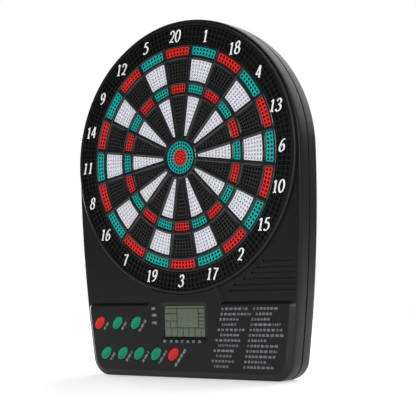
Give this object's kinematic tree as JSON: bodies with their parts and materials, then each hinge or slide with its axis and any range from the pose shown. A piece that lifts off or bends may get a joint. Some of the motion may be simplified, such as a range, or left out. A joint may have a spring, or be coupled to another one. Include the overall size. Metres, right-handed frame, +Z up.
{
  "type": "electronic dartboard",
  "caption": "Arch-shaped electronic dartboard: black plastic case, round soft-tip dart target with sprung perforated beds, and a lower panel with oval buttons and an LCD.",
  "frame": {"origin": "on the surface the board stands on, under the middle of its case in width and depth", "axes": "+Z up along the case's height, -Y out of the target towards the player, +X to the player's right"},
  "size_m": [0.202, 0.025, 0.26],
  "materials": {
    "case_black": "moulded ABS, fine satin texture",
    "spider_grey": "moulded ABS, satin",
    "mesh_black": "moulded polypropylene, matt",
    "bed_black": "moulded polypropylene, matt; doubles and trebles red",
    "bed_white": "moulded polypropylene, matt; doubles and trebles teal",
    "bull_teal": "moulded polypropylene, matt",
    "bull_red": "moulded polypropylene, matt",
    "button_red": "moulded ABS, semi-gloss",
    "button_green": "moulded ABS, semi-gloss",
    "black_rubber": "moulded silicone, matt",
    "printed_film": "polyester film",
    "grey_plastic": "moulded polystyrene, matt",
    "clear_window": "clear acrylic, polished",
    "lcd_glass": "reflective liquid crystal cell, satin",
    "board_green": "solder mask",
    "speaker_steel": "plated steel frame and magnet",
    "nickel_strip": "nickel plated spring steel",
    "cell_jacket": "printed jacket",
    "zinc_screw": "zinc plated steel"
  },
  "bodies": {
    "housing": {"front_shell": "case_black", "rear_shell": "case_black", "target_ring": "case_black", "number_ring": "mesh_black", "spider_frame": "spider_grey", "rubber_mat": "black_rubber", "switch_membrane": "printed_film", "backing_plate": "grey_plastic", "ribbon_cable": "printed_film", "keypad_sheet": "black_rubber", "lcd_window": "clear_window", "lcd_module": "lcd_glass", "circuit_board": "board_green", "speaker": "speaker_steel", "contact_strip_left": "nickel_strip", "contact_strip_right": "nickel_strip", "battery_1": "cell_jacket", "battery_2": "cell_jacket", "battery_3": "cell_jacket", "case_screw_1": "zinc_screw", "case_screw_2": "zinc_screw", "case_screw_3": "zinc_screw", "case_screw_4": "zinc_screw", "case_screw_5": "zinc_screw", "case_screw_6": "zinc_screw", "board_screw_1": "zinc_screw", "board_screw_2": "zinc_screw"},
    "segment_20_body": {"segment_20": "bed_black"},
    "segment_1_body": {"segment_1": "bed_white"},
    "segment_18_body": {"segment_18": "bed_black"},
    "segment_4_body": {"segment_4": "bed_white"},
    "segment_13_body": {"segment_13": "bed_black"},
    "segment_6_body": {"segment_6": "bed_white"},
    "segment_10_body": {"segment_10": "bed_black"},
    "segment_15_body": {"segment_15": "bed_white"},
    "segment_2_body": {"segment_2": "bed_black"},
    "segment_17_body": {"segment_17": "bed_white"},
    "segment_3_body": {"segment_3": "bed_black"},
    "segment_19_body": {"segment_19": "bed_white"},
    "segment_7_body": {"segment_7": "bed_black"},
    "segment_16_body": {"segment_16": "bed_white"},
    "segment_8_body": {"segment_8": "bed_black"},
    "segment_11_body": {"segment_11": "bed_white"},
    "segment_14_body": {"segment_14": "bed_black"},
    "segment_9_body": {"segment_9": "bed_white"},
    "segment_12_body": {"segment_12": "bed_black"},
    "segment_5_body": {"segment_5": "bed_white"},
    "outer_bull_body": {"outer_bull": "bull_teal"},
    "inner_bull_body": {"inner_bull": "bull_red"},
    "power_button_body": {"power_button": "button_red"},
    "sound_button_body": {"sound_button": "button_green"},
    "score_button_body": {"score_button": "button_green"},
    "game_button_body": {"game_button": "button_green"},
    "option_button_body": {"option_button": "button_green"},
    "player_button_body": {"player_button": "button_green"},
    "double_button_body": {"double_button": "button_green"},
    "start_button_body": {"start_button": "button_red"},
    "battery_door_body": {"battery_door": "case_black"}
  },
  "joints": [
    {"name": "segment_20_press", "type": "slide", "parent": "housing", "child": "segment_20_body", "axis": [0, 1, 0], "range_m": [0, 0.0008], "stiffness_N_per_m": 800},
    {"name": "segment_1_press", "type": "slide", "parent": "housing", "child": "segment_1_body", "axis": [0, 1, 0], "range_m": [0, 0.0008], "stiffness_N_per_m": 800},
    {"name": "segment_18_press", "type": "slide", "parent": "housing", "child": "segment_18_body", "axis": [0, 1, 0], "range_m": [0, 0.0008], "stiffness_N_per_m": 800},
    {"name": "segment_4_press", "type": "slide", "parent": "housing", "child": "segment_4_body", "axis": [0, 1, 0], "range_m": [0, 0.0008], "stiffness_N_per_m": 800},
    {"name": "segment_13_press", "type": "slide", "parent": "housing", "child": "segment_13_body", "axis": [0, 1, 0], "range_m": [0, 0.0008], "stiffness_N_per_m": 800},
    {"name": "segment_6_press", "type": "slide", "parent": "housing", "child": "segment_6_body", "axis": [0, 1, 0], "range_m": [0, 0.0008], "stiffness_N_per_m": 800},
    {"name": "segment_10_press", "type": "slide", "parent": "housing", "child": "segment_10_body", "axis": [0, 1, 0], "range_m": [0, 0.0008], "stiffness_N_per_m": 800},
    {"name": "segment_15_press", "type": "slide", "parent": "housing", "child": "segment_15_body", "axis": [0, 1, 0], "range_m": [0, 0.0008], "stiffness_N_per_m": 800},
    {"name": "segment_2_press", "type": "slide", "parent": "housing", "child": "segment_2_body", "axis": [0, 1, 0], "range_m": [0, 0.0008], "stiffness_N_per_m": 800},
    {"name": "segment_17_press", "type": "slide", "parent": "housing", "child": "segment_17_body", "axis": [0, 1, 0], "range_m": [0, 0.0008], "stiffness_N_per_m": 800},
    {"name": "segment_3_press", "type": "slide", "parent": "housing", "child": "segment_3_body", "axis": [0, 1, 0], "range_m": [0, 0.0008], "stiffness_N_per_m": 800},
    {"name": "segment_19_press", "type": "slide", "parent": "housing", "child": "segment_19_body", "axis": [0, 1, 0], "range_m": [0, 0.0008], "stiffness_N_per_m": 800},
    {"name": "segment_7_press", "type": "slide", "parent": "housing", "child": "segment_7_body", "axis": [0, 1, 0], "range_m": [0, 0.0008], "stiffness_N_per_m": 800},
    {"name": "segment_16_press", "type": "slide", "parent": "housing", "child": "segment_16_body", "axis": [0, 1, 0], "range_m": [0, 0.0008], "stiffness_N_per_m": 800},
    {"name": "segment_8_press", "type": "slide", "parent": "housing", "child": "segment_8_body", "axis": [0, 1, 0], "range_m": [0, 0.0008], "stiffness_N_per_m": 800},
    {"name": "segment_11_press", "type": "slide", "parent": "housing", "child": "segment_11_body", "axis": [0, 1, 0], "range_m": [0, 0.0008], "stiffness_N_per_m": 800},
    {"name": "segment_14_press", "type": "slide", "parent": "housing", "child": "segment_14_body", "axis": [0, 1, 0], "range_m": [0, 0.0008], "stiffness_N_per_m": 800},
    {"name": "segment_9_press", "type": "slide", "parent": "housing", "child": "segment_9_body", "axis": [0, 1, 0], "range_m": [0, 0.0008], "stiffness_N_per_m": 800},
    {"name": "segment_12_press", "type": "slide", "parent": "housing", "child": "segment_12_body", "axis": [0, 1, 0], "range_m": [0, 0.0008], "stiffness_N_per_m": 800},
    {"name": "segment_5_press", "type": "slide", "parent": "housing", "child": "segment_5_body", "axis": [0, 1, 0], "range_m": [0, 0.0008], "stiffness_N_per_m": 800},
    {"name": "outer_bull_press", "type": "slide", "parent": "housing", "child": "outer_bull_body", "axis": [0, 1, 0], "range_m": [0, 0.0008], "stiffness_N_per_m": 800},
    {"name": "inner_bull_press", "type": "slide", "parent": "housing", "child": "inner_bull_body", "axis": [0, 1, 0], "range_m": [0, 0.0008], "stiffness_N_per_m": 800},
    {"name": "power_button_press", "type": "slide", "parent": "housing", "child": "power_button_body", "axis": [0, 1, 0], "range_m": [0, 0.0008], "stiffness_N_per_m": 400},
    {"name": "sound_button_press", "type": "slide", "parent": "housing", "child": "sound_button_body", "axis": [0, 1, 0], "range_m": [0, 0.0008], "stiffness_N_per_m": 400},
    {"name": "score_button_press", "type": "slide", "parent": "housing", "child": "score_button_body", "axis": [0, 1, 0], "range_m": [0, 0.0008], "stiffness_N_per_m": 400},
    {"name": "game_button_press", "type": "slide", "parent": "housing", "child": "game_button_body", "axis": [0, 1, 0], "range_m": [0, 0.0008], "stiffness_N_per_m": 400},
    {"name": "option_button_press", "type": "slide", "parent": "housing", "child": "option_button_body", "axis": [0, 1, 0], "range_m": [0, 0.0008], "stiffness_N_per_m": 400},
    {"name": "player_button_press", "type": "slide", "parent": "housing", "child": "player_button_body", "axis": [0, 1, 0], "range_m": [0, 0.0008], "stiffness_N_per_m": 400},
    {"name": "double_button_press", "type": "slide", "parent": "housing", "child": "double_button_body", "axis": [0, 1, 0], "range_m": [0, 0.0008], "stiffness_N_per_m": 400},
    {"name": "start_button_press", "type": "slide", "parent": "housing", "child": "start_button_body", "axis": [0, 1, 0], "range_m": [0, 0.0008], "stiffness_N_per_m": 400},
    {"name": "battery_door_lift", "type": "slide", "parent": "housing", "child": "battery_door_body", "axis": [0, 1, 0], "range_m": [0, 0.015]}
  ]
}
